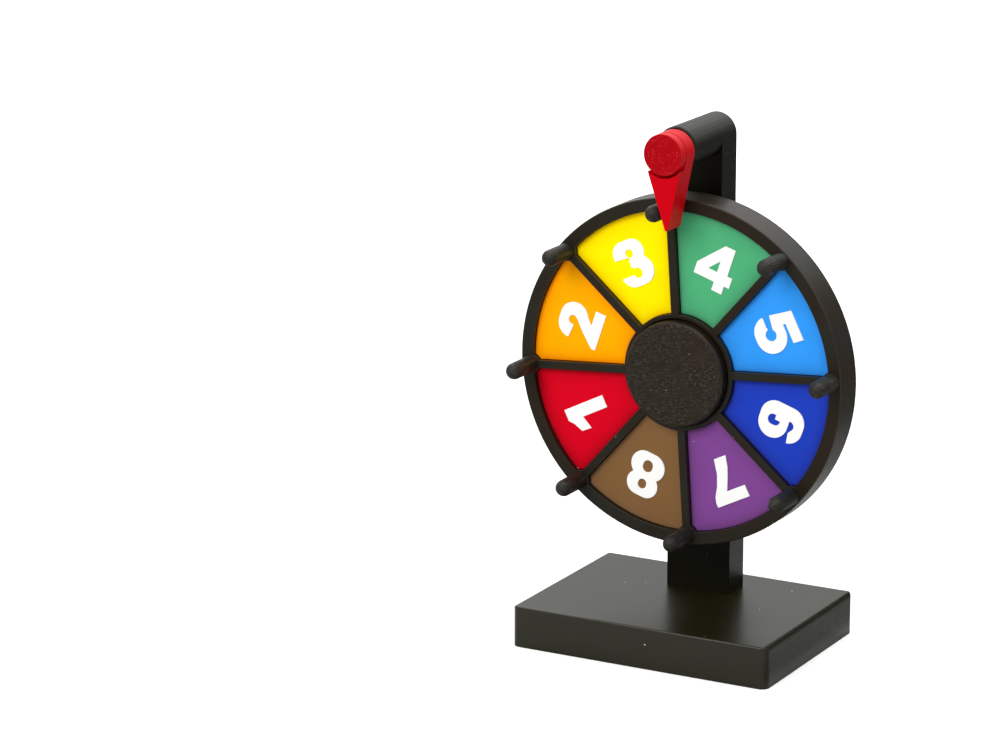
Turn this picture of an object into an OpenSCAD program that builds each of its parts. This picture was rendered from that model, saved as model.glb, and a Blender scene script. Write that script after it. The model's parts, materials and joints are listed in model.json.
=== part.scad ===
// Tabletop prize wheel with eight numbered panels, rim pegs and a swinging pointer.
// The wheel faces -Y, +Z is up and the origin is the middle of the base's underside.
// Sizes are in millimetres and turns are in degrees.

/* [Base] */
// Width of the base block, left to right
base_w = 96.8; // [80:0.2:120]
// Depth of the base block, front to back
base_d = 70.8; // [56:0.2:90]
// Height of the base block
base_h = 14.7; // [12:0.1:20]
// Rounding of the upright corners of the base
base_corner_r = 2.9; // [1:0.1:6]
// Rounding of the front and rear top edges of the base
base_edge_r = 0.6; // [0.4:0.1:3]
// Rounding of the left and right top edges of the base
base_side_r = 1.8; // [0.4:0.1:3]

/* [Upright] */
// Room between the base and the lowest point of the rim
rim_clear = 21.6; // [10:0.1:40]
// Height of the arm's axis above the highest point of the rim
arm_rise = 17.7; // [14:0.1:24]
// Width of the post below the hub
post_w = 24; // [20:0.5:30]
// Thickness of the post, front to back
post_t = 11.2; // [10:0.1:14]
// Distance from the base's middle back to the front of the post
post_front = 11.4; // [10:0.1:16]
// Diameter of the arm and width of the neck that carries it
arm_d = 14.4; // [12:0.1:18]
// How far the arm reaches ahead of the post
arm_l = 20.3; // [18:0.1:26]
// Bevel round the end of the arm
arm_bevel = 0.5; // [0.2:0.1:1.5]
// Height above the axis where the post starts to narrow
shoulder_low = 12; // [6:0.5:20]
// Height above the axis where the post is as narrow as the neck
shoulder_high = 40; // [25:0.5:52]

/* [Post joint] */
// Depth of the tenon that enters the base
tenon_l = 6; // [4:0.5:8]
// Setback of the tenon from the faces of the post
tenon_inset = 1.5; // [1:0.1:2.5]
// Gap round the tenon in its pocket
tenon_gap = 0.1; // [0.05:0.05:0.3]
// Shank diameter of the base screws
screw_d = 4; // [3:0.5:5]
// Head diameter of the base screws
screw_head_d = 7; // [6:0.5:9]
// Head height of the base screws
screw_head_h = 2.6; // [2:0.1:4]
// Length of the base screws under the head
screw_l = 20; // [14:1:25]
// Distance of a base screw from the side of the post
screw_edge = 6; // [4.5:0.1:8]
// Gap round a screw where it passes through the base
screw_gap = 0.25; // [0.1:0.05:0.5]
// Width of the hexagon socket in a screw head
screw_key = 2.5; // [2:0.5:4]

/* [Wheel] */
// Outer diameter of the wheel
wheel_d = 121; // [100:1:150]
// Thickness of the wheel, back to front
wheel_t = 12.8; // [11.5:0.1:16]
// Distance from the back of the wheel to the post
wheel_clear = 4.8; // [3:0.1:8]
// Width of the rim's front face
rim_w = 4.5; // [3:0.1:7]
// Small bevel on the outer edges of the wheel
rim_bevel = 0.4; // [0.2:0.1:1.5]
// Width of a spoke
spoke_w = 2.8; // [2:0.1:5]
// Outer diameter of the raised hub ring
hub_d = 40.6; // [38.5:0.1:48]
// Turn of the wheel at rest, to the left of straight up
rest_turn = 3.9; // [0:0.1:20]

/* [Panels] */
// Depth of a panel's face below the rim
panel_recess = 2; // [1:0.1:3]
// Thickness of a panel
panel_t = 2.4; // [1.6:0.1:3]
// Gap round a panel in its pocket
panel_gap = 0.1; // [0.05:0.05:0.3]
// Height of a numeral
digit_h = 16.4; // [12:0.1:18]
// Thickness of a numeral on its panel
digit_t = 0.4; // [0.2:0.1:0.8]
// Distance of a numeral's middle from the inside of the rim
digit_inset = 15.8; // [13:0.1:20]

/* [Pegs] */
// Diameter of a peg
peg_d = 5.8; // [4:0.1:6.4]
// How far a peg stands out from the rim
peg_l = 14.4; // [10:0.1:18]
// Distance of a peg's middle from the outside of the rim
peg_inset = 3.4; // [2:0.1:5]
// Radius of the pad round the foot of a peg
pad_r = 3.4; // [2.8:0.1:4.5]
// Diameter of the tenon behind a peg
peg_tenon_d = 3; // [2:0.1:3.4]
// Length of the tenon behind a peg
peg_tenon_l = 7; // [4:0.5:9]

/* [Bearing and axle] */
// Bore of the ball bearing and diameter of the axle bolt
axle_d = 8; // [8:0.1:8]
// Outer diameter of the ball bearing
bearing_d = 22; // [22:0.1:22]
// Width of the ball bearing
bearing_w = 7; // [7:0.1:7]
// Diameter of a bearing ball
ball_d = 3.93; // [3.9:0.01:3.96]
// Number of bearing balls
ball_count = 7; // [6:1:8]
// Gap between a ball and its raceways
race_gap = 0.03; // [0.02:0.01:0.08]
// Width across the flats of the bolt head and of the nut
hex_af = 13; // [13:0.1:13]
// Height of the bolt head
bolt_head_h = 4; // [3.5:0.1:4.4]
// Height of the nut
nut_h = 6.5; // [5:0.1:7]
// Outer diameter of the two spacers on the axle
spacer_d = 12; // [11:0.1:12]
// Thickness of the front spacer
front_spacer_t = 1; // [0.8:0.1:1.2]
// Gap round the axle bolt and the nut in the post
axle_gap = 0.15; // [0.05:0.05:0.3]

/* [Hub cap] */
// Diameter of the hub cap
cap_d = 36.8; // [34:0.1:37]
// How far the cap stands ahead of the rim
cap_proud = 3.5; // [3.2:0.1:5]
// Depth that the cap sinks into the hub ring
cap_sink = 2; // [1:0.1:2.2]
// Running gap between the cap and the hub ring
cap_gap = 0.5; // [0.3:0.1:1]
// Rounding round the face of the cap
cap_edge_r = 1.2; // [0.4:0.1:2]

/* [Pointer] */
// How far the pointer's tip reaches past a peg that is straight under it
tip_dip = 2.4; // [1:0.1:5]
// Depth of the pointer, front to back
pointer_t = 9.6; // [8:0.1:10]
// Width of the blunt tip
tip_w = 1; // [0.5:0.1:2]
// Gap left at rest between the pointer and the peg it leans on
lean_gap = 0.2; // [0.1:0.05:0.6]
// Free play between the pointer and the arm behind it
pointer_play = 0.7; // [0.1:0.05:0.9]
// Free play between the pointer and the pin's head in front of it
head_play = 0.1; // [0.05:0.05:0.6]
// Diameter of the pivot pin's shank
pin_d = 4; // [3:0.1:5]
// How far the pivot pin lies below the arm's axis
pin_drop = 0.7; // [0:0.1:1.5]
// Running clearance of the pointer on its pin
pin_clear = 0.05; // [0.02:0.01:0.1]
// Diameter of the pivot pin's head
pin_head_d = 14.2; // [12:0.1:14.4]
// Thickness of the pivot pin's head
pin_head_t = 3.6; // [2.5:0.1:5]
// Gap between the pin's head and the flap below it
head_gap = 1; // [0.5:0.1:2]
// Depth of the pin in the arm
pin_grip = 10; // [7:0.5:14]

/* [Hidden] */
$fn = 96;

black = [0.06, 0.06, 0.055];
steel = [0.62, 0.63, 0.65];
red = [0.80, 0.01, 0.06];
white = [0.96, 0.96, 0.94];
nylon = [0.86, 0.82, 0.70];

// Panels go round clockwise from the top spoke, starting with the numeral four
panel_count = 8;
first_numeral = 4;
step = 360 / panel_count;
panel_colours = [[0.82, 0.01, 0.08], [1.0, 0.58, 0.0], [1.0, 0.88, 0.0], [0.22, 0.63, 0.40],
                 [0.15, 0.56, 1.0], [0.10, 0.19, 0.70], [0.46, 0.21, 0.54], [0.44, 0.30, 0.15]];

eps = 0.01;
hex_d = hex_af / cos(30);
wheel_r = wheel_d / 2;
rim_in_r = wheel_r - rim_w;
hub_r = hub_d / 2;
hub_z = base_h + rim_clear + wheel_r;
arm_z = hub_z + wheel_r + arm_rise;
peg_r = wheel_r - peg_inset;
post_back = post_front + post_t;
wheel_back = post_front - wheel_clear;
wheel_front = wheel_back - wheel_t;
pocket_depth = panel_recess + panel_t;

// The bearing starts at the floor of the cap's recess
cap_recess = cap_sink + cap_gap;
cap_t = cap_proud + cap_sink;
bearing_front = wheel_front + cap_recess;
bearing_back = bearing_front + bearing_w;
ball_pitch_r = (axle_d + bearing_d) / 4;
race_r = ball_d / 2 + race_gap;
inner_ring_r = 6.05;
outer_shoulder_r = 9;
shield_seat_r = 9.5;
shield_t = 0.5;
shield_inset = 0.25;
shield_gap = 0.35;
lip_r = shield_seat_r;
cage_w = 5;
cage_gap = 0.35;
cage_pocket_gap = 0.08;

bolt_head_back = bearing_front - front_spacer_t;
bolt_head_front = bolt_head_back - bolt_head_h;
cap_front = wheel_front - cap_proud;
cap_back = wheel_front + cap_sink;

arm_r = arm_d / 2;
arm_end = post_front - arm_l;
pointer_back = arm_end - pointer_play;
pointer_front = pointer_back - pointer_t;
boss_front = pointer_front + pin_head_t + head_play;
pin_head_front = pointer_front;
pin_head_back = pin_head_front + pin_head_t;

// The pointer's reach from its pivot, and the half angle of its flanks, which run into the round end
pin_z = arm_z - pin_drop;
pointer_l = pin_z - hub_z - peg_r + peg_d / 2 + tip_dip;
flank_r = arm_r - eps;
taper = asin(flank_r / norm([pointer_l, tip_w / 2])) - atan2(tip_w / 2, pointer_l);

// Tilt that brings the pointer's left side up to the peg left of the top
peg_dx = peg_r * sin(rest_turn);
peg_dz = pin_z - hub_z - peg_r * cos(rest_turn);
lean_reach = (flank_r + peg_d / 2 + lean_gap) / norm([peg_dx, peg_dz]);
pointer_tilt = asin(lean_reach) - atan2(peg_dx, peg_dz) - taper;

screw_x = post_w / 2 - screw_edge;
screw_y = post_front + post_t / 2;
screw_recess = screw_head_h + 0.4;
digit_unit = digit_h / 40;
digit_r = rim_in_r - digit_inset;

// Lays a shape drawn face up on the plane y = front, with its own up along +Z
module facing(y, z) {
    translate([0, y, z])
        rotate([90, 0, 0])
            children();
}

// A solid drawn from y_front back to y_back by pulling a flat outline
module slab(y_front, y_back, z) {
    facing(y_back, z)
        linear_extrude(y_back - y_front)
            children();
}

// Ring, or disc when the inner radius is nought
module ring(r_out, r_in, y_front, y_back, z) {
    slab(y_front, y_back, z)
        difference() {
            circle(r_out);
            if (r_in > 0) circle(r_in);
        }
}

// Outline of a block with rounded upper corners
module round_top_2d(w, h, r) {
    translate([-w / 2, 0])
        square([w, h - r]);
    translate([-w / 2 + r, 0])
        square([w - 2 * r, h]);
    for (side = [-1, 1])
        translate([side * (w / 2 - r), h - r])
            circle(r);
}

// Outline of a block with four rounded corners
module round_rect_2d(w, d, r) {
    square([w - 2 * r, d], center = true);
    square([w, d - 2 * r], center = true);
    for (sx = [-1, 1], sy = [-1, 1])
        translate([sx * (w / 2 - r), sy * (d / 2 - r)])
            circle(r);
}

module base() {
    color(black)
        difference() {
            intersection() {
                linear_extrude(base_h)
                    round_rect_2d(base_w, base_d, base_corner_r);
                slab(-base_d, base_d, 0)
                    round_top_2d(base_w, base_h, base_side_r);
                rotate([0, 0, 90])
                    slab(-base_w, base_w, 0)
                        round_top_2d(base_d, base_h, base_edge_r);
            }
            tenon(tenon_gap);
            for (side = [-1, 1])
                translate([side * screw_x, screw_y, 0]) {
                    translate([0, 0, -eps])
                        cylinder(d = screw_d + 2 * screw_gap, h = base_h);
                    translate([0, 0, -eps])
                        cylinder(d = screw_head_d + 4 * screw_gap, h = screw_recess + eps);
                }
        }
}

// Foot of the post inside the base, or its pocket when a gap is given
module tenon(gap) {
    w = post_w - 2 * tenon_inset + 2 * gap;
    d = post_t - 2 * tenon_inset + 2 * gap;
    translate([-w / 2, screw_y - d / 2, base_h - tenon_l])
        cube([w, d, tenon_l + eps]);
}

// Front outline of the post, its shoulders and the round-topped neck
module post_2d() {
    polygon([[-post_w / 2, base_h], [post_w / 2, base_h],
             [post_w / 2, hub_z + shoulder_low], [arm_r, hub_z + shoulder_high],
             [arm_r, arm_z], [-arm_r, arm_z],
             [-arm_r, hub_z + shoulder_high], [-post_w / 2, hub_z + shoulder_low]]);
    translate([0, arm_z])
        circle(arm_r);
}

// Round arm that reaches out over the rim, with a bevelled end
module arm() {
    reach = arm_l + eps;
    facing(post_front + eps, arm_z)
        rotate_extrude()
            polygon([[0, 0], [arm_r, 0], [arm_r, reach - arm_bevel],
                     [arm_r - arm_bevel, reach], [0, reach]]);
}

module upright() {
    color(black)
        difference() {
            union() {
                slab(post_front, post_back, 0)
                    post_2d();
                arm();
                tenon(0);
            }
            ring(axle_d / 2 + axle_gap, 0, post_front - eps, post_back + eps, hub_z);
            slab(post_back - nut_h, post_back + eps, hub_z)
                circle(d = hex_d + 2 * axle_gap, $fn = 6);
            ring(pin_d / 2, 0, arm_end - eps, arm_end + pin_grip, pin_z);
            for (side = [-1, 1])
                translate([side * screw_x, screw_y, screw_recess])
                    cylinder(d = screw_d, h = screw_l - screw_head_h + screw_recess);
        }
}

// Socket-head screw that holds the post down from under the base
module base_screw(side) {
    color(steel)
        translate([side * screw_x, screw_y, screw_recess - screw_head_h])
            difference() {
                union() {
                    cylinder(d = screw_head_d, h = screw_head_h);
                    cylinder(d = screw_d, h = screw_head_h + screw_l);
                }
                translate([0, 0, -eps])
                    cylinder(d = screw_key / cos(30), h = screw_head_h / 2, $fn = 6);
            }
}

module axle_bolt() {
    color(steel) {
        slab(bolt_head_front, bolt_head_back, hub_z)
            circle(d = hex_d, $fn = 6);
        ring(axle_d / 2, 0, bolt_head_back - eps, post_back - axle_gap, hub_z);
    }
}

module axle_nut() {
    color(steel)
        slab(post_back - nut_h, post_back - axle_gap, hub_z)
            difference() {
                circle(d = hex_d, $fn = 6);
                circle(d = axle_d);
            }
}

module front_spacer() {
    color(steel)
        ring(spacer_d / 2, axle_d / 2, bolt_head_back, bearing_front, hub_z);
}

module rear_spacer() {
    color(steel)
        ring(spacer_d / 2, axle_d / 2, bearing_back, post_front, hub_z);
}

module hub_cap() {
    color(black)
        difference() {
            facing(cap_back, hub_z)
                rotate_extrude() {
                    square([cap_d / 2, cap_t - cap_edge_r]);
                    square([cap_d / 2 - cap_edge_r, cap_t]);
                    translate([cap_d / 2 - cap_edge_r, cap_t - cap_edge_r])
                        circle(cap_edge_r);
                }
            slab(bolt_head_front, cap_back + eps, hub_z)
                circle(d = hex_d, $fn = 6);
        }
}

// Groove profile shared by both bearing rings, seen across the axle
module race_2d() {
    translate([ball_pitch_r, bearing_w / 2])
        circle(race_r);
}

module bearing_inner_ring() {
    color(steel)
        facing(bearing_back, hub_z)
            rotate_extrude()
                difference() {
                    translate([axle_d / 2, 0])
                        square([inner_ring_r - axle_d / 2, bearing_w]);
                    race_2d();
                }
}

module bearing_outer_ring() {
    seat = shield_inset + shield_t;
    color(steel)
        facing(bearing_back, hub_z)
            rotate_extrude()
                difference() {
                    translate([outer_shoulder_r, 0])
                        square([bearing_d / 2 - outer_shoulder_r, bearing_w]);
                    race_2d();
                    for (y = [-eps, bearing_w - seat])
                        translate([outer_shoulder_r - eps, y])
                            square([shield_seat_r - outer_shoulder_r + eps, seat + eps]);
                }
}

// Thin cover ring that closes one side of the bearing
module bearing_shield(y_front) {
    color(steel)
        ring(shield_seat_r, inner_ring_r + shield_gap, y_front, y_front + shield_t, hub_z);
}

// Places a copy at every ball of the bearing
module at_balls() {
    for (i = [0 : ball_count - 1])
        facing((bearing_front + bearing_back) / 2, hub_z)
            rotate([0, 0, i * 360 / ball_count])
                translate([ball_pitch_r, 0, 0])
                    children();
}

module bearing_balls() {
    color(steel)
        at_balls()
            sphere(d = ball_d);
}

// Ball cage, a ring with a round pocket through it for every ball
module bearing_cage() {
    middle = (bearing_front + bearing_back) / 2;
    color(nylon)
        difference() {
            ring(outer_shoulder_r - cage_gap, inner_ring_r + cage_gap,
                 middle - cage_w / 2, middle + cage_w / 2, hub_z);
            at_balls()
                rotate([0, 90, 0])
                    cylinder(d = ball_d + 2 * cage_pocket_gap, h = ball_d, center = true);
        }
}

// Direction of the spoke that comes before panel i, counted clockwise from the top
function spoke_angle(i) = rest_turn - i * step;

// Direction of the middle of the panel that carries numeral n
function panel_angle(n) = spoke_angle((n - first_numeral + panel_count) % panel_count) - step / 2;

// Outline of one panel, upright above the axis; gap shrinks it for its pocket
module panel_2d(gap) {
    half = spoke_w / 2 + gap;
    apex = half / sin(step / 2);
    far = wheel_d;
    difference() {
        intersection() {
            circle(rim_in_r - gap);
            polygon([[0, apex], [-far * sin(step / 2), apex + far * cos(step / 2)],
                     [far * sin(step / 2), apex + far * cos(step / 2)]]);
        }
        circle(hub_r + gap);
        for (side = [-1, 1])
            rotate(side * step / 2)
                translate([0, peg_r])
                    circle(pad_r + gap);
    }
}

module wheel_frame() {
    color(black)
        difference() {
            facing(wheel_back, hub_z)
                rotate_extrude()
                    polygon([[0, 0], [wheel_r - rim_bevel, 0], [wheel_r, rim_bevel],
                             [wheel_r, wheel_t - rim_bevel], [wheel_r - rim_bevel, wheel_t],
                             [0, wheel_t]]);
            for (i = [0 : panel_count - 1])
                slab(wheel_front - eps, wheel_front + pocket_depth, hub_z)
                    rotate(spoke_angle(i) - step / 2)
                        panel_2d(0);
            for (i = [0 : panel_count - 1])
                slab(wheel_front - eps, wheel_front + peg_tenon_l, hub_z)
                    rotate(spoke_angle(i))
                        translate([0, peg_r])
                            circle(d = peg_tenon_d);
            ring(cap_d / 2 + cap_gap, 0, wheel_front - eps, bearing_front, hub_z);
            ring(bearing_d / 2, 0, bearing_front - eps, bearing_back, hub_z);
            ring(lip_r, 0, bearing_back - eps, wheel_back + eps, hub_z);
        }
}

module panel(n) {
    color(panel_colours[n - 1])
        slab(wheel_front + panel_recess, wheel_front + pocket_depth, hub_z)
            rotate(panel_angle(n))
                panel_2d(panel_gap);
}

// Dowel with a domed end and a thinner tenon pressed into the rim
module peg(i) {
    dome = peg_d / 2;
    color(black)
        facing(wheel_front, hub_z)
            rotate([0, 0, spoke_angle(i - 1)])
                translate([0, peg_r, 0])
                    rotate_extrude() {
                        translate([0, -peg_tenon_l])
                            square([peg_tenon_d / 2, peg_tenon_l + eps]);
                        square([dome, peg_l - dome]);
                        intersection() {
                            translate([0, peg_l - dome])
                                circle(dome);
                            square([dome, peg_l]);
                        }
                    }
}

// Bowl of a numeral, two rounds joined side by side, in numeral units
module bowl_2d(left, right, middle, r) {
    for (x = [left, right])
        translate([x, middle] * digit_unit)
            circle(r * digit_unit);
    translate([left, middle - r] * digit_unit)
        square([right - left, 2 * r] * digit_unit);
}

// Round counter of a numeral
module counter_2d(x, y, r) {
    translate([x, y] * digit_unit)
        circle(r * digit_unit);
}

// The numerals stand on y = 0 on a grid forty units high
module one_2d() {
    polygon(digit_unit * [[-5, 0], [6, 0], [6, 40], [-4, 40], [-8, 36], [-16, 31.5],
                          [-16.5, 22], [-5, 25.5]]);
}

module two_2d() {
    difference() {
        bowl_2d(-4, 1.6, 27, 13);
        counter_2d(-1, 27.5, 4);
        polygon(digit_unit * [[-30, 28.5], [-5, 25.5], [-5, 27], [3, 27], [1.2, 23.7],
                              [-7.3, 15.6], [-17.5, 4], [-30, 4]]);
    }
    polygon(digit_unit * [[-17.5, 0], [15, 0], [15, 9.8], [1, 9.8], [7, 15.3], [3, 24],
                          [1.2, 23.7], [-7.3, 15.6], [-17.5, 4]]);
}

module three_2d() {
    difference() {
        union() {
            bowl_2d(-5, 2.7, 29, 11);
            bowl_2d(-3.6, 3.5, 12.4, 12.4);
        }
        counter_2d(-0.7, 28.5, 3.6);
        counter_2d(0, 11, 4.4);
        polygon(digit_unit * [[-30, 28], [-4.6, 25.6], [-1, 24.9], [-3.5, 22.5], [-3.5, 17],
                              [-1, 15.3], [-4.4, 10.5], [-30, 10.5]]);
    }
}

module four_2d() {
    difference() {
        polygon(digit_unit * [[3, 40], [12.7, 40], [12.7, 16.6], [17.5, 16.6], [17.5, 7.4],
                              [12.7, 7.4], [12.7, 0], [3, 0], [3, 7.4], [-16.5, 7.4],
                              [-16.5, 17.3]]);
        polygon(digit_unit * [[3, 26], [3, 16.2], [-5.4, 16.2]]);
    }
}

module five_2d() {
    difference() {
        bowl_2d(-2, 1.4, 14, 14);
        counter_2d(0, 14.2, 5);
        polygon(digit_unit * [[-30, 21.7], [-4, 17.7], [-3, 14], [-7, 12.7], [-30, 13]]);
    }
}

// Stem and bar above the bowl of the five
module five_flag_2d() {
    polygon(digit_unit * [[-12.7, 40], [13.4, 40], [12.6, 30.6], [-4.5, 30.6], [-4.5, 17.8],
                          [-15.6, 19.5]]);
}

module six_2d() {
    difference() {
        union() {
            bowl_2d(-3, 2, 27, 13);
            translate([-16, 13] * digit_unit)
                square([12, 14] * digit_unit);
        }
        counter_2d(0, 27.5, 4);
        polygon(digit_unit * [[0, 26], [1.5, 31.2], [6, 28.3], [30, 32], [30, 8], [0, 8]]);
    }
    difference() {
        bowl_2d(-2.8, 3.1, 13.2, 13.2);
        counter_2d(0.6, 14.3, 4.6);
        counter_2d(0.6, 12.3, 4.6);
    }
}

module seven_2d() {
    polygon(digit_unit * [[-15, 39], [17, 39], [17, 35], [15.5, 30], [10, 22], [5.5, 12.5],
                          [2.8, 0], [-9, 0], [-6.3, 10], [-2.4, 18.5], [3, 28.7], [-15, 28.7]]);
}

module eight_2d() {
    difference() {
        union() {
            bowl_2d(-3.7, 3.9, 29.3, 10.7);
            bowl_2d(-3.6, 4, 12, 12);
        }
        counter_2d(0.2, 28.4, 3.8);
        counter_2d(0.2, 29.4, 3.8);
        counter_2d(0.2, 11.4, 4.5);
        counter_2d(0.2, 13, 4.5);
    }
}

module numeral_2d(n) {
    if (n == 1) one_2d();
    if (n == 2) two_2d();
    if (n == 3) three_2d();
    if (n == 4) four_2d();
    if (n == 5) five_2d();
    if (n == 6) six_2d();
    if (n == 7) seven_2d();
    if (n == 8) eight_2d();
}

// Lays a numeral's outline on the panel that carries it
module on_panel(n) {
    face = wheel_front + panel_recess;
    slab(face - digit_t, face, hub_z)
        rotate(panel_angle(n))
            translate([0, digit_r - digit_h / 2])
                children();
}

module numeral(n) {
    color(white) {
        on_panel(n)
            numeral_2d(n);
        if (n == 5)
            on_panel(n)
                five_flag_2d();
    }
}

// Teardrop outline of the pointer, hanging from its pivot
module pointer_2d() {
    c = cos(taper);
    s = sin(taper);
    circle(arm_r);
    polygon([[0, 0], [-flank_r * c, -flank_r * s], [-tip_w / 2, -pointer_l],
             [tip_w / 2, -pointer_l], [flank_r * c, -flank_r * s]]);
}

module pointer() {
    color(red)
        difference() {
            slab(pointer_front, pointer_back, pin_z)
                rotate(pointer_tilt)
                    pointer_2d();
            ring(pin_head_d / 2 + head_gap, 0, pointer_front - eps, boss_front, pin_z);
            ring(pin_d / 2 + pin_clear, 0, boss_front - eps, pointer_back + eps, pin_z);
        }
}

module pointer_pin() {
    color(red) {
        ring(pin_head_d / 2, 0, pin_head_front, pin_head_back, pin_z);
        ring(pin_d / 2, 0, pin_head_back - eps, arm_end + pin_grip, pin_z);
    }
}

base();
upright();
base_screw(-1);  // base_screw_1
base_screw(1);  // base_screw_2
axle_bolt();
axle_nut();
front_spacer();
rear_spacer();
hub_cap();
bearing_inner_ring();
pointer_pin();
wheel_frame();
panel(1);  // panel_1
panel(2);  // panel_2
panel(3);  // panel_3
panel(4);  // panel_4
panel(5);  // panel_5
panel(6);  // panel_6
panel(7);  // panel_7
panel(8);  // panel_8
numeral(1);  // numeral_1
numeral(2);  // numeral_2
numeral(3);  // numeral_3
numeral(4);  // numeral_4
numeral(5);  // numeral_5
numeral(6);  // numeral_6
numeral(7);  // numeral_7
numeral(8);  // numeral_8
peg(1);  // peg_1
peg(2);  // peg_2
peg(3);  // peg_3
peg(4);  // peg_4
peg(5);  // peg_5
peg(6);  // peg_6
peg(7);  // peg_7
peg(8);  // peg_8
bearing_outer_ring();
bearing_shield(bearing_front + shield_inset);  // bearing_shield_front
bearing_shield(bearing_back - shield_inset - shield_t);  // bearing_shield_rear
bearing_cage();
bearing_balls();
pointer();
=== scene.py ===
"""Looks of a tabletop prize wheel: finishes, softened edges, light and camera.

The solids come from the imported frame. This script rounds their edges, gives every
piece a procedural finish, and lights them on a pale floor. Lengths are in metres
unless a name says mm; the sizes of a finish's patterns are in millimetres.
"""
import json
import logging
import math
from dataclasses import dataclass
from enum import Enum
from typing import Any, Dict, Mapping, Optional, Tuple, Union

import bmesh
import bpy
from mathutils import Matrix, Vector

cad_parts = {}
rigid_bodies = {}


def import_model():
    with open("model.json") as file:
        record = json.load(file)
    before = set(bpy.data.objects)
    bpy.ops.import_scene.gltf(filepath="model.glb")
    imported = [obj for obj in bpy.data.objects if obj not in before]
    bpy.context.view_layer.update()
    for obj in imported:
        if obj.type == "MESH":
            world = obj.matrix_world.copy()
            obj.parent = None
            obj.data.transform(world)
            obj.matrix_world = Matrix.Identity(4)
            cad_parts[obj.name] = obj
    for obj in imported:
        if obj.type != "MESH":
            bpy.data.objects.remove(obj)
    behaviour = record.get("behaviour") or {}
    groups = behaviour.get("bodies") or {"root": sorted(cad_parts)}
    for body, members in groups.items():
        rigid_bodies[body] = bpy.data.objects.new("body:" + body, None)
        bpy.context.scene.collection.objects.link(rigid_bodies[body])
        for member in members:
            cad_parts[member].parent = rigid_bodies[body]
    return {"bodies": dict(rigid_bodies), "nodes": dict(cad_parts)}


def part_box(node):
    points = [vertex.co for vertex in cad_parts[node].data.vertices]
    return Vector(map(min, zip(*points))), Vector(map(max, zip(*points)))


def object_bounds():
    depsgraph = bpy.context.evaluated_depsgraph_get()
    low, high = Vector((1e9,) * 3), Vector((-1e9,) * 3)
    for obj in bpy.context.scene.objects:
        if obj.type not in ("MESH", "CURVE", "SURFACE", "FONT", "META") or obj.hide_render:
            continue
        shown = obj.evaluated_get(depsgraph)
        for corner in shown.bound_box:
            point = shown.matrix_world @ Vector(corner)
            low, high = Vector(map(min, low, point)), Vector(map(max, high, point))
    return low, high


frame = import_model()
CAD_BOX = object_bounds()

MM = 0.001
MEAN = 0.5  # of a noise that runs from nought to one

RGB = Tuple[float, float, float]
RGBA = Tuple[float, float, float, float]
Point = Tuple[float, float, float]
Band = Tuple[float, float]
Key = Union[int, str]

WHITE: RGBA = (1.0, 1.0, 1.0, 1.0)
BLACK: RGBA = (0.0, 0.0, 0.0, 1.0)

log = logging.getLogger("prize_wheel")


class Way(Enum):
    """Direction in the frame, as the component of a position to read."""

    ACROSS = "X"
    DEEP = "Y"
    UP = "Z"


class Wire:
    """A node's output that takes part in Python arithmetic."""

    def __init__(self, graph: "Graph", socket: bpy.types.NodeSocket) -> None:
        """Wraps one output.

        Args:
            graph: The node graph the output belongs to.
            socket: The output socket.
        """
        self.graph = graph
        self.socket = socket

    def __add__(self, other: Any) -> "Wire":
        """Sum."""
        return self.graph.maths("ADD", self, other)

    def __radd__(self, other: Any) -> "Wire":
        """Sum with the wire on the right."""
        return self.graph.maths("ADD", other, self)

    def __sub__(self, other: Any) -> "Wire":
        """Difference."""
        return self.graph.maths("SUBTRACT", self, other)

    def __rsub__(self, other: Any) -> "Wire":
        """Difference with the wire on the right."""
        return self.graph.maths("SUBTRACT", other, self)

    def __mul__(self, other: Any) -> "Wire":
        """Product."""
        return self.graph.maths("MULTIPLY", self, other)

    def __rmul__(self, other: Any) -> "Wire":
        """Product with the wire on the right."""
        return self.graph.maths("MULTIPLY", other, self)

    def __truediv__(self, other: Any) -> "Wire":
        """Quotient."""
        return self.graph.maths("DIVIDE", self, other)

    def __rtruediv__(self, other: Any) -> "Wire":
        """Quotient with the wire on the right."""
        return self.graph.maths("DIVIDE", other, self)

    def __mod__(self, other: Any) -> "Wire":
        """Floored remainder."""
        return self.graph.maths("FLOORED_MODULO", self, other)

    def __rmod__(self, other: Any) -> "Wire":
        """Floored remainder with the wire on the right."""
        return self.graph.maths("FLOORED_MODULO", other, self)

    def __abs__(self) -> "Wire":
        """Size without sign."""
        return self.graph.maths("ABSOLUTE", self)


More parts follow.
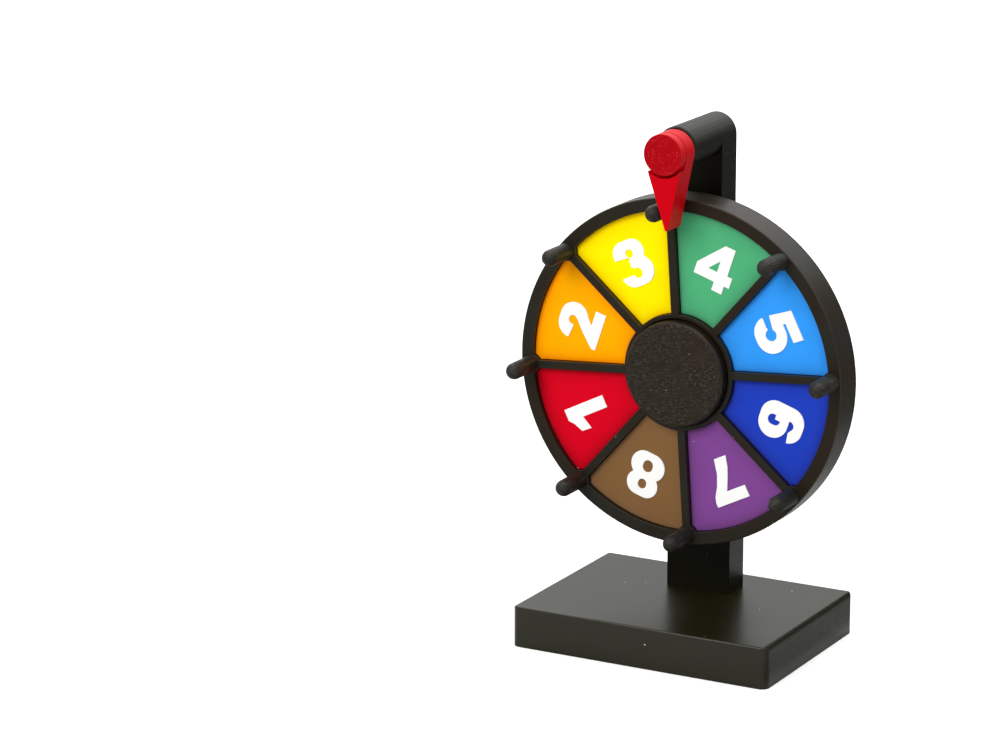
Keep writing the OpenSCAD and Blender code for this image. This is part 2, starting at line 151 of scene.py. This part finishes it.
class Graph:
    """The shader graph of one material or of the world."""

    def __init__(self, owner: Any) -> None:
        """Empties the owner's node tree.

        Args:
            owner: A material or world.
        """
        owner.use_nodes = True
        self.tree = owner.node_tree
        self.tree.nodes.clear()

    def node(self, kind: str, settings: Optional[Mapping[str, Any]] = None,
             inputs: Optional[Mapping[Key, Any]] = None, out: Key = 0) -> Wire:
        """Adds one node.

        Args:
            kind: The node's type.
            settings: Its own settings, set first.
            inputs: Values or wires for its sockets, by name or number.
            out: The output to hand back.

        Returns:
            The chosen output, or the first input of a node that has no output.
        """
        made = self.tree.nodes.new(kind)
        for name, value in (settings or {}).items():
            setattr(made, name, value)
        for key, value in (inputs or {}).items():
            if isinstance(value, Wire):
                self.tree.links.new(value.socket, made.inputs[key])
            else:
                made.inputs[key].default_value = value
        return Wire(self, made.outputs[out] if made.outputs else made.inputs[0])

    def maths(self, operation: str, first: Any, second: Any = 0.0) -> Wire:
        """Adds one Math node.

        Args:
            operation: Its operation.
            first: Its first value or wire.
            second: Its second value or wire.

        Returns:
            The node's result.
        """
        return self.node("ShaderNodeMath", {"operation": operation}, {0: first, 1: second})

    def vector(self, operation: str, first: Any, inputs: Mapping[Key, Any],
               out: Key = 0) -> Wire:
        """Adds one Vector Math node.

        Args:
            operation: Its operation.
            first: Its first vector.
            inputs: Its other sockets.
            out: The output to hand back.

        Returns:
            The chosen output.
        """
        return self.node("ShaderNodeVectorMath", {"operation": operation},
                         {0: first, **inputs}, out)

    def place_mm(self) -> Wire:
        """Position on the piece at rest, in millimetres."""
        place = self.node("ShaderNodeTexCoord", out="Object")
        return self.vector("SCALE", place, {"Scale": 1.0 / MM})

    def part(self, vector: Wire, way: Way) -> Wire:
        """One component of a vector."""
        return self.node("ShaderNodeSeparateXYZ", None, {0: vector}, way.value)

    def noise(self, place: Wire, size_mm: float, detail: float = 2.0,
              rough: float = 0.5) -> Wire:
        """Smooth noise from nought to one.

        Args:
            place: Position in millimetres.
            size_mm: Size of its features.
            detail: Octaves.
            rough: Strength of the finer octaves.

        Returns:
            The noise.
        """
        return self.node("ShaderNodeTexNoise", {"noise_dimensions": "3D"},
                         {"Vector": place, "Scale": 1.0 / size_mm, "Detail": detail,
                          "Roughness": rough})

    def ramp(self, value: Wire, low: float, high: float) -> Wire:
        """Value stretched so that low to high covers nought to one, smoothly and clamped."""
        return self.node("ShaderNodeMapRange", {"interpolation_type": "SMOOTHSTEP"},
                         {"Value": value, "From Min": low, "From Max": high})

    def tint(self, share: Any, first: Any, second: Any) -> Wire:
        """Mix of two colours.

        Args:
            share: Part of the second colour.
            first: First colour or wire.
            second: Second colour or wire.

        Returns:
            The mixed colour.
        """
        settings = {"data_type": "RGBA", "clamp_factor": True}
        return self.node("ShaderNodeMix", settings, {0: share, 6: first, 7: second}, 2)

    def bump(self, height_mm: Wire) -> Wire:
        """A normal from a height in millimetres."""
        return self.node("ShaderNodeBump", None,
                         {"Height": height_mm, "Strength": 1.0, "Distance": MM})


def tooth(step: Wire) -> Wire:
    """Nought at whole steps, rising evenly to one half-way between them."""
    return 1.0 - abs((step % 1.0) * 2.0 - 1.0)


def rgba(colour: RGB, level: float = 1.0) -> RGBA:
    """A colour for a socket, brightened or darkened by a level."""
    return (colour[0] * level, colour[1] * level, colour[2] * level, 1.0)


@dataclass(frozen=True)
class Pattern:
    """Size and height of one surface pattern; no height means no pattern."""

    size: float = 0.0
    height: float = 0.0


@dataclass(frozen=True)
class RidgesWithPaintedGlint:
    """Short raised crests that a textured print bed or a nozzle leaves, in patches: their
    height is real relief, and their pale tint is a painted highlight.
    """

    size: float
    height: float
    # pale tint of the crests: a painted highlight, as if they caught the light
    colour: RGB
    share: float = 0.6
    stretch: Point = (1.0, 1.0, 1.0)
    band: Band = (0.48, 0.72)
    detail: float = 1.5
    fine_share: float = 0.55
    patch_size: float = 6.0
    patch_band: Band = (0.38, 0.6)
    patch_detail: float = 1.0
    walls: bool = False


@dataclass(frozen=True)
class Finish:
    """What every finish has: a name and a main colour."""

    name: str
    colour: RGB

    def make(self) -> bpy.types.Material:
        """Builds the material.

        Returns:
            The material, with its shader joined to its output.
        """
        material = bpy.data.materials.new(self.name)
        material.diffuse_color = rgba(self.colour)
        graph = Graph(material)
        surface = self.surface(graph)
        graph.node("ShaderNodeOutputMaterial", None, {"Surface": surface})
        return material

    def surface(self, graph: Graph) -> Wire:
        """Adds the shader; each finish has its own."""
        raise NotImplementedError


@dataclass(frozen=True)
class PrintedPlastic(Finish):
    """Satin plastic laid down in thin layers, with grain, mottling and dust."""

    roughness: float = 0.4
    spread: float = 0.06
    layer_spread: float = 0.8
    specular: float = 0.5
    contrast: float = 0.28
    mottle: float = 0.10
    cloud_size: float = 9.0
    cloud_detail: float = 3.0
    patch: Optional[RGB] = None
    patch_size: float = 16.0
    patch_band: Band = (0.38, 0.62)
    grain: Pattern = Pattern(0.35, 0.006)
    layers: Pattern = Pattern(0.2, 0.004)
    layer_way: Way = Way.UP
    layer_change: float = 0.10
    ridges_with_glint: Optional[RidgesWithPaintedGlint] = None
    raster: Pattern = Pattern()
    raster_band: Band = (0.9, 0.98)
    wall_gloss: float = 0.0
    coat_roughness: float = 0.3
    face_band: Band = (0.75, 0.97)
    # below one, the faces get a darker copy of the colour than the walls: painted shade
    painted_face_shade_level: float = 1.0
    dust_cell: float = 7.0
    dust_size: float = 0.16
    dust_core: float = 0.6
    dust_rough: float = 0.3
    dust_colour: RGB = (0.62, 0.60, 0.54)

    def surface(self, graph: Graph) -> Wire:
        """Adds the plastic's shader.

        Args:
            graph: The material's graph.

        Returns:
            The shader.
        """
        place = graph.place_mm()
        face = self.face(graph)
        cloud = graph.noise(place, self.cloud_size, self.cloud_detail)
        fine = graph.noise(place, self.grain.size)
        step = graph.part(place, self.layer_way) / self.layers.size
        layer = graph.node("ShaderNodeTexWhiteNoise", {"noise_dimensions": "1D"},
                           {"W": graph.maths("FLOOR", step)})
        shade = ((cloud - MEAN) * (2.0 * self.mottle)
                 + (layer - MEAN) * self.layer_change + MEAN)
        height = fine * self.grain.height + tooth(step) * self.layers.height
        body = self.body(graph, place, shade, face)
        if self.ridges_with_glint:
            ridge_and_glint = self.ridge_and_glint(graph, place, face)
            height = height + ridge_and_glint * self.ridges_with_glint.height
            # painted highlight: the crests are tinted pale, as if they caught the light
            body = graph.tint(ridge_and_glint * self.ridges_with_glint.share, body, rgba(self.ridges_with_glint.colour))
        if self.raster.height:
            height = height + self.lines(graph, place)
        dust = self.dust(graph, place)
        rough = ((cloud - MEAN) * self.spread
                 + (layer - MEAN) * (self.layer_spread * self.spread)
                 + (fine - MEAN) * self.spread + dust * self.dust_rough + self.roughness)
        sockets = {"Base Color": graph.tint(dust, body, rgba(self.dust_colour)),
                   "Roughness": rough, "Normal": graph.bump(height),
                   "Specular IOR Level": self.specular}
        if self.wall_gloss:
            streak = (layer - MEAN) * self.layer_change + 1.0
            sockets["Coat Weight"] = (1.0 - face) * streak * self.wall_gloss
            sockets["Coat Roughness"] = self.coat_roughness
        return graph.node("ShaderNodeBsdfPrincipled", None, sockets)

    def face(self, graph: Graph) -> Wire:
        """One on the faces towards the front and back, nought on the walls between them."""
        normal = graph.node("ShaderNodeTexCoord", out="Normal")
        return graph.ramp(abs(graph.part(normal, Way.DEEP)), *self.face_band)

    def ridge_and_glint(self, graph: Graph, place: Wire, face: Wire) -> Wire:
        """Crests in patches, on the faces alone unless they cover the walls too.

        Args:
            graph: The material's graph.
            place: Position in millimetres.
            face: One on the faces, nought on the walls.

        Returns:
            One on a crest, nought between the crests.
        """
        kind = self.ridges_with_glint
        stretched = graph.vector("MULTIPLY", place, {1: kind.stretch})
        crest = graph.ramp(graph.noise(stretched, kind.size, kind.detail, kind.fine_share),
                           *kind.band)
        patch = graph.ramp(graph.noise(place, kind.patch_size, kind.patch_detail),
                           *kind.patch_band)
        return crest * patch if kind.walls else crest * patch * face

    def body(self, graph: Graph, place: Wire, shade: Wire, face: Wire) -> Wire:
        """Colour of the plastic under the crests and the dust; a darker copy on the faces is
        painted shade.

        Args:
            graph: The material's graph.
            place: Position in millimetres.
            shade: Nought where the plastic is darkest, one where it is palest.
            face: One on the faces, nought on the walls.

        Returns:
            The colour.
        """
        low, high = 1.0 - self.contrast, 1.0 + self.contrast
        plain = graph.tint(shade, rgba(self.colour, low), rgba(self.colour, high))
        if self.patch:
            other = graph.tint(shade, rgba(self.patch, low), rgba(self.patch, high))
            share = graph.ramp(graph.noise(place, self.patch_size), *self.patch_band)
            plain = graph.tint(share, plain, other)
        if self.painted_face_shade_level == 1.0:
            return plain
        # painted shade: the faces towards the front and back take a darker copy of the colour
        level = self.painted_face_shade_level
        front = graph.tint(shade, rgba(self.colour, low * level),
                           rgba(self.colour, high * level))
        return graph.tint(face, plain, front)

    def dust(self, graph: Graph, place: Wire) -> Wire:
        """Sparse pale specks, each where a scattered point comes close to the surface.

        Args:
            graph: The material's graph.
            place: Position in millimetres.

        Returns:
            One on a speck, nought elsewhere.
        """
        near = graph.node("ShaderNodeTexVoronoi", {"feature": "F1"},
                          {"Vector": place, "Scale": 1.0 / self.dust_cell}, "Distance")
        return 1.0 - graph.ramp(near * self.dust_cell, self.dust_core * self.dust_size,
                                self.dust_size)

    def lines(self, graph: Graph, place: Wire) -> Wire:
        """Slanting lines that the nozzle leaves on a level face.

        Args:
            graph: The material's graph.
            place: Position in millimetres.

        Returns:
            Their height.
        """
        along = graph.part(place, Way.ACROSS) + graph.part(place, Way.DEEP)
        slant = along / (math.sqrt(2.0) * self.raster.size)
        normal = graph.node("ShaderNodeNewGeometry", out="Normal")
        level = graph.ramp(graph.part(normal, Way.UP), *self.raster_band)
        return tooth(slant) * level * self.raster.height


@dataclass(frozen=True)
class PanelPlastic(PrintedPlastic):
    """Coloured plastic of one panel, with painted shade along its border below the frame's
    walls.
    """

    roughness: float = 0.6
    specular: float = 0.02
    mottle: float = 0.12
    layer_change: float = 0.0
    layer_way: Way = Way.DEEP
    dust_cell: float = 9.0
    dust_colour: RGB = (0.8, 0.8, 0.78)
    # painted shade along the panel's border
    border_shade_colour: RGB = (0.0, 0.0, 0.0)
    hub_mm: float = 0.0
    inner_mm: float = 20.3
    outer_mm: float = 56.0
    spoke_mm: float = 2.8
    panel_count: int = 8
    turn_degrees: float = 3.9
    fade_mm: float = 2.2

    def body(self, graph: Graph, place: Wire, shade: Wire, face: Wire) -> Wire:
        """Colour of the plastic, blended into painted shade towards its border.

        Args:
            graph: The material's graph.
            place: Position in millimetres.
            shade: Nought where the plastic is darkest, one where it is palest.
            face: One on the faces, nought on the walls.

        Returns:
            The colour.
        """
        plain = super().body(graph, place, shade, face)
        # painted shade: the border colour fades in over a few millimetres next to the frame's
        # walls
        share = graph.maths("EXPONENT", self.inset(graph, place) * (-1.0 / self.fade_mm))
        return graph.tint(share, plain, rgba(self.border_shade_colour))

    def inset(self, graph: Graph, place: Wire) -> Wire:
        """Distance from the panel's border.

        Args:
            graph: The material's graph.
            place: Position in millimetres.

        Returns:
            The distance in millimetres.
        """
        across = graph.part(place, Way.ACROSS)
        above = graph.part(place, Way.UP) - self.hub_mm
        radius = graph.maths("SQRT", across * across + above * above)
        sector = math.tau / self.panel_count
        bearing = graph.maths("ARCTAN2", across, above) + math.radians(self.turn_degrees)
        fold = sector / 2 - abs(bearing % sector - sector / 2)
        spoke = radius * graph.maths("SINE", fold) - self.spoke_mm / 2
        ring = graph.maths("MINIMUM", self.outer_mm - radius, radius - self.inner_mm)
        return graph.maths("MAXIMUM", graph.maths("MINIMUM", spoke, ring), 0.0)


@dataclass(frozen=True)
class PlatedSteel(Finish):
    """Zinc plated or ground steel with fine turning marks."""

    roughness: float = 0.3
    cloud_size: float = 3.0
    cloud_detail: float = 4.0
    cloud_rough: float = 0.16
    tones: Band = (0.8, 1.15)
    marks: Pattern = Pattern(0.4, 0.004)
    mark_stretch: Point = (1.0, 6.0, 1.0)
    mark_detail: float = 3.0
    mark_rough: float = 0.12

    def surface(self, graph: Graph) -> Wire:
        """Adds the metal's shader.

        Args:
            graph: The material's graph.

        Returns:
            The shader.
        """
        place = graph.place_mm()
        cloud = graph.noise(place, self.cloud_size, self.cloud_detail)
        stretched = graph.vector("MULTIPLY", place, {1: self.mark_stretch})
        fine = graph.noise(stretched, self.marks.size, self.mark_detail)
        dark, pale = (rgba(self.colour, tone) for tone in self.tones)
        rough = ((cloud - MEAN) * self.cloud_rough + (fine - MEAN) * self.mark_rough
                 + self.roughness)
        return graph.node("ShaderNodeBsdfPrincipled", None,
                          {"Base Color": graph.tint(cloud, dark, pale), "Roughness": rough,
                           "Normal": graph.bump(fine * self.marks.height), "Metallic": 1.0})


class Finishes:
    """Makes each finish once and hands it out."""

    def __init__(self) -> None:
        """Starts with no finish made."""
        self.made: Dict[str, bpy.types.Material] = {}

    def give(self, piece: bpy.types.Object, finish: Finish) -> None:
        """Puts a finish on every face of a piece.

        Args:
            piece: The piece.
            finish: Its finish.
        """
        if finish.name not in self.made:
            self.made[finish.name] = finish.make()
        piece.data.materials.clear()
        piece.data.materials.append(self.made[finish.name])
        log.info("%s: %s", piece.name, finish.name)


@dataclass
class Assembly:
    """A group of nodes that share a place in the part."""

    finishes: Finishes
    weld_mm: float = 0.002
    flat_degrees: float = 0.3
    sharp_degrees: float = 32.0

    def node(self, name: str) -> bpy.types.Object:
        """The frame's object of that name."""
        return frame["nodes"][name]

    def weld(self, name: str) -> bpy.types.Object:
        """Joins a node's doubled corners, which closes its mesh.

        Args:
            name: The node.

        Returns:
            Its object.
        """
        piece = self.node(name)
        weld = piece.modifiers.new("weld", "WELD")
        weld.merge_threshold = self.weld_mm * MM
        return piece

    def soften(self, name: str, width_mm: float, segments: int = 3) -> None:
        """Rounds the sharp edges of a node with modifiers.

        Args:
            name: The node.
            width_mm: Width of the rounding.
            segments: Steps across it.
        """
        piece = self.weld(name)
        flat = piece.modifiers.new("flat", "DECIMATE")
        flat.decimate_type = "DISSOLVE"
        flat.angle_limit = math.radians(self.flat_degrees)
        bevel = piece.modifiers.new("edges", "BEVEL")
        bevel.width = width_mm * MM
        bevel.segments = segments
        bevel.limit_method = "ANGLE"
        bevel.angle_limit = math.radians(self.sharp_degrees)
        bevel.use_clamp_overlap = True
        bevel.harden_normals = True
        weighted = piece.modifiers.new("shading", "WEIGHTED_NORMAL")
        weighted.keep_sharp = True

    def finish(self, finish: Finish, *names: str) -> None:
        """Gives several nodes one finish."""
        for name in names:
            self.finishes.give(self.node(name), finish)


@dataclass
class Stand(Assembly):
    """Base, upright, hub cap and the fasteners that hold them."""

    edge_mm: float = 0.45
    cap_edge_mm: float = 0.25
    steel_edge_mm: float = 0.2
    fasteners: Tuple[str, ...] = ("base_screw_1", "base_screw_2", "axle_bolt", "axle_nut")
    rings: Tuple[str, ...] = ("front_spacer", "rear_spacer", "bearing_inner_ring")
    base: Finish = PrintedPlastic(
        "black_base", (0.0090, 0.0080, 0.0008), specular=0.36, roughness=0.3,
        raster=Pattern(0.42, 0.004), dust_size=0.34)
    upright: Finish = PrintedPlastic(
        "black_upright", (0.0045, 0.0040, 0.0008), specular=0.08, roughness=0.4,
        wall_gloss=0.38, layers=Pattern(0.2, 0.006), layer_change=0.5, dust_size=0.26)
    cap: Finish = PrintedPlastic(
        "black_cap", (0.0150, 0.0072, 0.0028), specular=0.16, roughness=0.46, contrast=0.6,
        patch=(0.0120, 0.0084, 0.0034), layer_change=0.0, layer_way=Way.DEEP, wall_gloss=0.2,
        # the crests' pale colour is a painted highlight on real relief
        ridges_with_glint=RidgesWithPaintedGlint(size=0.8, height=0.32, colour=(0.064, 0.049, 0.034), share=0.65,
                      stretch=(0.55, 1.0, 1.7), band=(0.44, 0.64), patch_band=(0.2, 0.58)),
        dust_cell=3.4, dust_size=0.13)
    steel: Finish = PlatedSteel("zinc_steel", (0.55, 0.56, 0.58))

    def build(self) -> None:
        """Rounds the stand's edges."""
        self.soften("base", self.edge_mm)
        self.soften("upright", self.edge_mm)
        self.soften("hub_cap", self.cap_edge_mm)
        for name in self.fasteners:
            self.soften(name, self.steel_edge_mm, segments=2)

    def dress(self) -> None:
        """Gives the stand its finishes."""
        self.finish(self.base, "base")
        self.finish(self.upright, "upright")
        self.finish(self.cap, "hub_cap")
        self.finish(self.steel, *self.fasteners, *self.rings)


@dataclass(frozen=True)
class PanelTone:
    """Colours of one panel: its own in the middle, and painted shade along its border."""

    word: str
    middle: RGB
    border: RGB


@dataclass
class Wheel(Assembly):
    """Frame, panels, numerals, pegs and the turning half of the bearing."""

    frame_edge_mm: float = 0.3
    panel_edge_mm: float = 0.15
    digit_edge_mm: float = 0.1
    # the second colour of each tone is painted shade along the panel's border
    tones: Tuple[PanelTone, ...] = (
        PanelTone("red", (0.68, 0.0012, 0.014), (0.39, 0.002, 0.010)),
        PanelTone("orange", (1.0, 0.42, 0.0), (1.0, 0.25, 0.0)),
        PanelTone("yellow", (1.0, 0.87, 0.0), (1.0, 0.58, 0.0)),
        PanelTone("green", (0.077, 0.435, 0.19), (0.065, 0.28, 0.145)),
        PanelTone("light_blue", (0.034, 0.325, 0.94), (0.028, 0.23, 0.72)),
        PanelTone("dark_blue", (0.0155, 0.050, 0.50), (0.018, 0.034, 0.33)),
        PanelTone("purple", (0.215, 0.063, 0.29), (0.15, 0.050, 0.19)),
        PanelTone("brown", (0.215, 0.110, 0.041), (0.20, 0.108, 0.050)))
    frame_black: Finish = PrintedPlastic(
        "black_frame", (0.0130, 0.0078, 0.0024), specular=0.14, roughness=0.45,
        patch=(0.0125, 0.0112, 0.0068), layer_way=Way.DEEP, layer_change=0.3, wall_gloss=0.36)
    peg_black: Finish = PrintedPlastic(
        "black_pegs", (0.0125, 0.0118, 0.0090), specular=0.20, roughness=0.52,
        layer_way=Way.DEEP,
        # the pale streak colour is a painted highlight on real relief
        ridges_with_glint=RidgesWithPaintedGlint(size=0.9, height=0.12, colour=(0.060, 0.052, 0.044), share=0.5,
                      stretch=(1.0, 0.16, 1.0), band=(0.42, 0.7), patch_size=5.0, walls=True))
    white: Finish = PrintedPlastic(
        "white_digits", (0.97, 0.97, 0.95), specular=0.1, roughness=0.6, mottle=0.04,
        layer_change=0.0, layer_way=Way.DEEP)
    steel: Finish = PlatedSteel("ground_steel", (0.60, 0.61, 0.62), roughness=0.22)
    nylon: Finish = PrintedPlastic("natural_nylon", (0.70, 0.64, 0.46), roughness=0.45)

    def each(self, kind: str) -> Tuple[str, ...]:
        """Names of the pieces of one kind, one for each panel."""
        return tuple(f"{kind}_{i}" for i in range(1, len(self.tones) + 1))

    def build(self) -> None:
        """Rounds the wheel's edges."""
        self.soften("wheel_frame", self.frame_edge_mm)
        for panel, digit, peg in zip(self.each("panel"), self.each("numeral"),
                                     self.each("peg")):
            self.soften(panel, self.panel_edge_mm, segments=2)
            self.soften(digit, self.digit_edge_mm, segments=2)
            self.weld(peg)
        self.weld("bearing_balls")

    def hub_mm(self) -> float:
        """Height of the axle, from the outer ring of the bearing that it carries."""
        low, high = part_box("bearing_outer_ring")
        return (low[2] + high[2]) / 2 / MM

    def dress(self) -> None:
        """Gives the wheel its finishes."""
        self.finish(self.frame_black, "wheel_frame")
        self.finish(self.peg_black, *self.each("peg"))
        for panel, tone in zip(self.each("panel"), self.tones):
            self.finish(PanelPlastic(f"panel_{tone.word}", tone.middle,
                                     border_shade_colour=tone.border, hub_mm=self.hub_mm(),
                                     panel_count=len(self.tones)), panel)
        self.finish(self.white, *self.each("numeral"))
        self.finish(self.steel, "bearing_outer_ring", "bearing_shield_front",
                    "bearing_shield_rear", "bearing_balls")
        self.finish(self.nylon, "bearing_cage")


@dataclass
class Pointer(Assembly):
    """The red pointer and the pin it swings on."""

    edge_mm: float = 0.3
    red: RGB = (0.62, 0.0003, 0.007)
    flap: Finish = PrintedPlastic(
        "red_pointer", red, specular=0.03, roughness=0.36, layer_way=Way.DEEP,
        layer_change=0.3, wall_gloss=0.3)
    # the pin's faces carry painted shade, and the pale pink tint of its crests is a painted
    # highlight
    pin: Finish = PrintedPlastic(
        "red_pin", red, specular=0.05, roughness=0.32, layer_way=Way.DEEP, layer_change=0.3,
        wall_gloss=0.3, painted_face_shade_level=0.68,
        ridges_with_glint=RidgesWithPaintedGlint(size=0.8, height=0.15, colour=(0.82, 0.055, 0.075), share=0.45,
                      band=(0.52, 0.74), patch_size=4.0))

    def build(self) -> None:
        """Rounds the pointer's edges."""
        self.soften("pointer", self.edge_mm)
        self.soften("pointer_pin", self.edge_mm)

    def dress(self) -> None:
        """Gives the pointer its finishes."""
        self.finish(self.flap, "pointer")
        self.finish(self.pin, "pointer_pin")


def flat_sheet(name: str, side: float, cells: int) -> bpy.types.Object:
    """Adds a level square sheet to the scene.

    Args:
        name: Its name.
        side: Length of its side.
        cells: Faces along a side.

    Returns:
        The sheet.
    """
    mesh = bpy.data.meshes.new(name)
    shape = bmesh.new()
    bmesh.ops.create_grid(shape, x_segments=cells, y_segments=cells, size=side / 2)
    shape.to_mesh(mesh)
    shape.free()
    sheet = bpy.data.objects.new(name, mesh)
    bpy.context.scene.collection.objects.link(sheet)
    return sheet


@dataclass(frozen=True)
class Card:
    """A plain card that only shows in reflections, lying flat before its tilt."""

    name: str
    place: Point
    size: Tuple[float, float]
    tilt_degrees: float
    colour: RGB

    def build(self) -> None:
        """Makes the card."""
        card = flat_sheet(self.name, side=1.0, cells=1)
        card.location = self.place
        card.rotation_euler.x = math.radians(self.tilt_degrees)
        card.scale = (*self.size, 1.0)
        for rays in ("camera", "diffuse", "transmission", "shadow"):
            setattr(card, f"visible_{rays}", False)
        material = bpy.data.materials.new(f"card_{self.name}")
        graph = Graph(material)
        matte = graph.node("ShaderNodeBsdfDiffuse", None, {"Color": rgba(self.colour)})
        graph.node("ShaderNodeOutputMaterial", None, {"Surface": matte})
        card.data.materials.append(material)
        log.info("%s: %s", self.name, material.name)


@dataclass(frozen=True)
class Lamp:
    """A soft square lamp that faces the middle of the part."""

    name: str
    place: Point
    side: float
    watts: float
    aim: Point = (0.0, 0.0, 0.1)

    def build(self) -> None:
        """Hangs the lamp."""
        data = bpy.data.lights.new(self.name, "AREA")
        data.shape = "SQUARE"
        data.size = self.side
        data.energy = self.watts
        lamp = bpy.data.objects.new(self.name, data)
        bpy.context.scene.collection.objects.link(lamp)
        lamp.location = self.place
        facing = Vector(self.aim) - Vector(self.place)
        lamp.rotation_euler = facing.to_track_quat("-Z", "Y").to_euler()
        log.info("lamp %s", self.name)


@dataclass
class Studio:
    """Floor, reflection cards, light and camera."""

    floor_side: float = 8.0
    floor_cells: int = 8
    floor_colour: RGB = (0.66, 0.66, 0.65)
    glow_near: RGB = (0.5, 0.5, 0.5)
    glow_far: RGB = (1.0, 1.0, 1.0)
    glow_band: Band = (0.2, 0.9)
    mirror_share: float = 0.1
    sky: float = 0.45
    backdrop_low: float = 0.64
    backdrop_high: float = 1.5
    backdrop_band: Band = (0.2, 0.55)
    # flag: a dark card that darkens reflections towards the back right; mat: a grey sheet on
    # the floor at the right, painted shade of the floor as reflections see it
    cards: Tuple[Card, ...] = (
        Card("flag", (0.19, 0.17, 0.1), (0.36, 0.2), 90.0, (0.16, 0.16, 0.16)),
        Card("mat", (0.11, 0.055, 0.0005), (0.115, 0.2), 0.0, (0.33, 0.33, 0.32)))
    lamps: Tuple[Lamp, ...] = (
        Lamp("softbox_front", (-0.25, -1.2, 0.95), side=0.8, watts=13.5),
        Lamp("softbox_top", (0.15, 0.15, 0.95), side=0.6, watts=5.0),
        Lamp("softbox_rear", (-1.1, 0.85, 1.15), side=0.8, watts=10.0))
    camera_place_mm: Point = (556.68, -1131.18, 424.91)
    yaw_degrees: float = 29.0807
    pitch_degrees: float = 14.6256
    roll_degrees: float = -0.1089
    focal_px: float = 3819.38
    image_px: float = 1000.0
    sensor_mm: float = 36.0

    def build(self) -> None:
        """Makes the floor, the cards, the lights and the camera."""
        self.floor()
        for card in self.cards:
            card.build()
        self.world()
        for lamp in self.lamps:
            lamp.build()
        self.camera()

    def rays(self, graph: Graph) -> Tuple[Wire, Wire]:
        """What kind of ray sees the surroundings.

        Args:
            graph: The graph that asks.

        Returns:
            One for camera and glass rays, and one for mirror rays.
        """
        camera = graph.node("ShaderNodeLightPath", out="Is Camera Ray")
        outputs = camera.socket.node.outputs
        glass = Wire(graph, outputs["Is Transmission Ray"])
        return graph.maths("MAXIMUM", camera, glass), Wire(graph, outputs["Is Glossy Ray"])

    def floor(self) -> None:
        """Makes a large pale floor at the foot of the part."""
        floor = flat_sheet("floor", self.floor_side, self.floor_cells)
        floor.location.z = CAD_BOX[0].z
        material = bpy.data.materials.new("pale_floor")
        graph = Graph(material)
        matte = graph.node("ShaderNodeBsdfDiffuse", None, {"Color": rgba(self.floor_colour)})
        direct, mirror = self.rays(graph)
        place = graph.node("ShaderNodeTexCoord", out="Object")
        far = graph.vector("LENGTH", place, {}, "Value")
        glow = graph.tint(graph.ramp(far, *self.glow_band), rgba(self.glow_near),
                          rgba(self.glow_far))
        colour = graph.tint(direct + mirror * self.mirror_share, BLACK, glow)
        shine = graph.node("ShaderNodeEmission", None, {"Color": colour, "Strength": 1.0})
        both = graph.node("ShaderNodeAddShader", None, {0: matte, 1: shine})
        graph.node("ShaderNodeOutputMaterial", None, {"Surface": both})
        floor.data.materials.append(material)
        log.info("floor: %s", material.name)

    def world(self) -> None:
        """Makes a pale room, brighter overhead, that the camera sees as white."""
        world = bpy.data.worlds.new("pale_room")
        bpy.context.scene.world = world
        graph = Graph(world)
        direct, mirror = self.rays(graph)
        rise = graph.part(graph.node("ShaderNodeTexCoord", out="Generated"), Way.UP)
        room = (graph.ramp(rise, *self.backdrop_band)
                * (self.backdrop_high - self.backdrop_low) + self.backdrop_low)
        level = direct * (1.0 - self.sky) + mirror * (room - self.sky) + self.sky
        light = graph.node("ShaderNodeBackground", None, {"Color": WHITE, "Strength": level})
        graph.node("ShaderNodeOutputWorld", None, {"Surface": light})

    def camera(self) -> None:
        """Makes the camera at the photograph's viewing angle."""
        yaw, pitch, roll = map(math.radians, (self.yaw_degrees, self.pitch_degrees,
                                              self.roll_degrees))
        ahead = Vector((-math.sin(yaw) * math.cos(pitch), math.cos(yaw) * math.cos(pitch),
                        -math.sin(pitch)))
        level = Vector((math.cos(yaw), math.sin(yaw), 0.0))
        upward = level.cross(ahead)
        right = level * math.cos(roll) + upward * math.sin(roll)
        top = upward * math.cos(roll) - level * math.sin(roll)
        data = bpy.data.cameras.new("camera")
        data.sensor_fit = "HORIZONTAL"
        data.sensor_width = self.sensor_mm
        data.lens = self.focal_px * self.sensor_mm / self.image_px
        camera = bpy.data.objects.new("camera", data)
        bpy.context.scene.collection.objects.link(camera)
        turn = Matrix((right, top, -ahead)).transposed().to_4x4()
        camera.matrix_world = Matrix.Translation(Vector(self.camera_place_mm) * MM) @ turn
        bpy.context.scene.camera = camera


def clear_startup() -> None:
    """Removes what a new file holds besides the frame."""
    kept = set(frame["nodes"].values()) | set(frame["bodies"].values())
    for extra in [o for o in bpy.data.objects if o not in kept]:
        bpy.data.objects.remove(extra)


def main() -> None:
    """Dresses the part, then lights it."""
    logging.basicConfig(level=logging.INFO, format="%(name)s %(message)s")
    clear_startup()
    bpy.context.scene.view_settings.view_transform = "Standard"
    finishes = Finishes()
    for group in (Stand(finishes), Wheel(finishes), Pointer(finishes)):
        group.build()
        group.dress()
    Studio().build()


if __name__ == "__main__":
    main()
